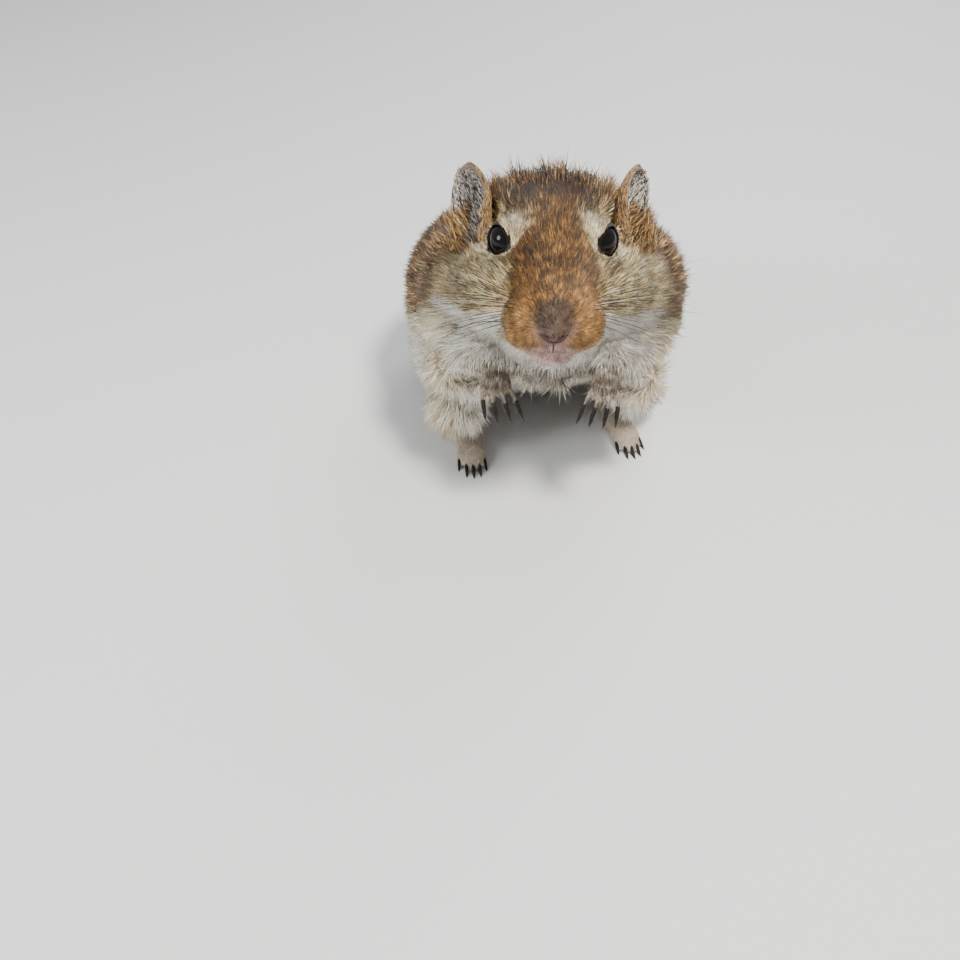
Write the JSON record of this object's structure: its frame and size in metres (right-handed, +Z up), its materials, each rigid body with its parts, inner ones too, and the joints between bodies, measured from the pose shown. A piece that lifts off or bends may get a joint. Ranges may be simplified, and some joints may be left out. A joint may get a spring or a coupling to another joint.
{
  "type": "life-size sitting gerbil model",
  "caption": "Life-size still model of an agouti Mongolian gerbil sitting on its haunches, forepaws held under its chin, its furred tail curled on the floor behind it.",
  "frame": {"origin": "on the floor, under the middle of the model's bounding box", "axes": "-Y is the way the nose points, +X is the animal's left side, +Z is up"},
  "size_m": [0.0582, 0.1256, 0.0612],
  "materials": {
    "coat_brown": "short dense agouti fur, brown with dark tips",
    "coat_face": "short fur, ochre on the snout and cream on the cheeks",
    "coat_cream": "soft cream fur",
    "ear": "thin skin with short grey hair",
    "paw": "sparse short hair over skin, with dark claws",
    "eye": "wet black gloss",
    "tail_brush": "long dark hair in a brush"
  },
  "bodies": {
    "root": {"head": "coat_face", "neck": "coat_brown", "torso": "coat_brown", "ear_left": "ear", "ear_right": "ear", "eye_left": "eye", "eye_right": "eye", "foreleg_left": "coat_cream", "foreleg_right": "coat_cream", "forepaw_left": "paw", "forepaw_right": "paw", "hind_leg_left": "coat_brown", "hind_leg_right": "coat_brown", "hind_foot_left": "paw", "hind_foot_right": "paw", "tail_base": "coat_brown", "tail_middle": "coat_brown", "tail_tip": "tail_brush"}
  },
  "joints": []
}
